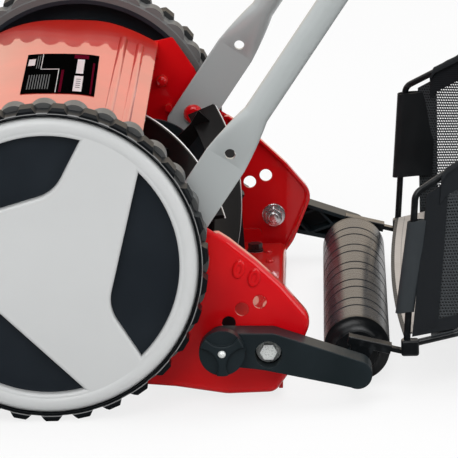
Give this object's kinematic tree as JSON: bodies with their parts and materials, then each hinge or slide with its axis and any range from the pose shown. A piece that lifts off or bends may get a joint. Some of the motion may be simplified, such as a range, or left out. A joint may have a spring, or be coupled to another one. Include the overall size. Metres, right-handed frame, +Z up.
{
  "type": "reel mower",
  "caption": "Hand-pushed reel mower: geared wheels drive a helical cutting reel, with rear roller, folding handle and grass catcher.",
  "frame": {"origin": "on the ground under the middle of the whole mower, cutting height at its lowest", "axes": "+Z up, +X from the wheels back to the handle and catcher, +Y to the mower's right"},
  "size_m": [0.806, 0.5102, 0.9929],
  "materials": {
    "red_paint": "glossy red powder coat",
    "reel_black": "glossy black paint, ground bright at the cutting edges",
    "black_plastic": "fine-grained black moulding",
    "wheel_black": "smooth blue-black moulding",
    "cap_grey": "pale grey satin moulding",
    "tyre": "black rubber",
    "zinc": "bright zinc plate",
    "hard_steel": "ground steel",
    "bronze": "plain bearing bronze",
    "tube_silver": "silver-grey paint",
    "foam": "black foam",
    "roller_plastic": "glossy brown-grey",
    "roller_cap": "glossy black",
    "wire_black": "glossy black paint",
    "bag_mesh": "black woven mesh",
    "floor_sheet": "pale ribbed sheet"
  },
  "bodies": {
    "frame": {"side_plate_left": "red_paint", "side_plate_right": "red_paint", "bearing_bracket_left": "black_plastic", "bearing_bracket_right": "black_plastic", "reel_cover": "red_paint", "plate_screws": "zinc", "reel_bearings": "zinc", "axle_stubs": "zinc", "axle_clips": "zinc", "knife_carrier": "red_paint", "bed_knife": "hard_steel", "knife_screws": "zinc", "adjuster_bolts": "zinc", "pivot_bolts": "zinc", "plate_nuts": "zinc", "plate_spacers": "zinc", "handle_pins": "red_paint"},
    "wheel_left": {"tyre_left": "tyre", "wheel_body_left": "wheel_black", "wheel_cap_left": "cap_grey", "ring_gear_left": "wheel_black", "wheel_bush_left": "bronze"},
    "wheel_right": {"tyre_right": "tyre", "wheel_body_right": "wheel_black", "wheel_cap_right": "cap_grey", "ring_gear_right": "wheel_black", "wheel_bush_right": "bronze"},
    "pinion_left": {"pinion_left": "hard_steel"},
    "pinion_right": {"pinion_right": "hard_steel"},
    "reel": {"reel_shaft": "zinc", "drive_keys": "zinc", "shaft_clips": "zinc", "reel_spiders": "reel_black", "reel_blades": "reel_black"},
    "height_arms": {"height_arm_left": "black_plastic", "height_arm_right": "black_plastic", "roller_axle": "zinc", "roller_spacers": "black_plastic"},
    "height_knob_left": {"height_knob_left": "black_plastic", "knob_stud_left": "zinc"},
    "height_knob_right": {"height_knob_right": "black_plastic", "knob_stud_right": "zinc"},
    "roller": {"roller_drum": "roller_plastic", "roller_caps": "roller_cap"},
    "catcher_clips": {"catcher_clips": "black_plastic"},
    "catcher": {"catcher_elbows": "black_plastic", "catcher_top_wire": "wire_black", "catcher_bottom_wire": "wire_black", "catcher_bag": "bag_mesh", "catcher_floor": "floor_sheet", "catcher_sleeves": "bag_mesh"},
    "lower_handle": {"lower_tube_left": "tube_silver", "lower_tube_right": "tube_silver", "tube_plugs": "black_plastic", "saddles": "black_plastic"},
    "upper_handle": {"upper_bar": "tube_silver", "foam_grip": "foam", "fold_bolts": "zinc"},
    "fold_knob_left": {"fold_knob_left": "black_plastic"},
    "fold_knob_right": {"fold_knob_right": "black_plastic"}
  },
  "joints": [
    {"name": "wheel_spin_left", "type": "hinge", "parent": "frame", "child": "wheel_left", "pos_m": [-0.28796, 0, 0.115], "axis": [0, 1, 0], "continuous": true},
    {"name": "wheel_spin_right", "type": "hinge", "parent": "frame", "child": "wheel_right", "pos_m": [-0.28796, 0, 0.115], "axis": [0, 1, 0], "continuous": true},
    {"name": "pinion_spin_left", "type": "hinge", "parent": "frame", "child": "pinion_left", "pos_m": [-0.22883, 0, 0.09051], "axis": [0, 1, 0], "continuous": true},
    {"name": "pinion_spin_right", "type": "hinge", "parent": "frame", "child": "pinion_right", "pos_m": [-0.22883, 0, 0.09051], "axis": [0, 1, 0], "continuous": true},
    {"name": "reel_spin", "type": "hinge", "parent": "frame", "child": "reel", "pos_m": [-0.22883, 0, 0.09051], "axis": [0, 1, 0], "continuous": true},
    {"name": "height_adjust", "type": "hinge", "parent": "frame", "child": "height_arms", "pos_m": [-0.13196, 0, 0.041], "axis": [0, 1, 0], "range_deg": [0, 72.6]},
    {"name": "height_knob_spin_left", "type": "hinge", "parent": "height_arms", "child": "height_knob_left", "pos_m": [-0.16518, 0, 0.04532], "axis": [0, 1, 0], "continuous": true},
    {"name": "height_knob_spin_right", "type": "hinge", "parent": "height_arms", "child": "height_knob_right", "pos_m": [-0.16518, 0, 0.04532], "axis": [0, 1, 0], "continuous": true},
    {"name": "roller_spin", "type": "hinge", "parent": "height_arms", "child": "roller", "pos_m": [-0.06796, 0, 0.0244], "axis": [0, 1, 0], "continuous": true},
    {"name": "clip_swing", "type": "hinge", "parent": "height_arms", "child": "catcher_clips", "pos_m": [-0.06796, 0, 0.0244], "axis": [0, 1, 0], "range_deg": [-72.6, 0]},
    {"name": "catcher_release", "type": "slide", "parent": "catcher_clips", "child": "catcher", "axis": [0.9703, 0, -0.2419], "range_m": [0, 0.04]},
    {"name": "handle_swing", "type": "hinge", "parent": "frame", "child": "lower_handle", "pos_m": [-0.19496, 0, 0.127], "axis": [0, -1, 0], "range_deg": [0, 40]},
    {"name": "handle_fold", "type": "hinge", "parent": "lower_handle", "child": "upper_handle", "pos_m": [0.07058, 0, 0.5148], "axis": [0, -1, 0], "range_deg": [0, 150]},
    {"name": "fold_knob_spin_left", "type": "hinge", "parent": "upper_handle", "child": "fold_knob_left", "pos_m": [0.07058, 0, 0.5148], "axis": [0, 1, 0], "continuous": true},
    {"name": "fold_knob_spin_right", "type": "hinge", "parent": "upper_handle", "child": "fold_knob_right", "pos_m": [0.07058, 0, 0.5148], "axis": [0, 1, 0], "continuous": true}
  ],
  "couplings": [
    {"joint": "pinion_spin_left", "follows": "wheel_spin_left", "ratio": 6.3333},
    {"joint": "pinion_spin_right", "follows": "wheel_spin_right", "ratio": 6.3333},
    {"joint": "reel_spin", "follows": "wheel_spin_left", "ratio": 6.3333},
    {"joint": "clip_swing", "follows": "height_adjust", "ratio": -1}
  ]
}
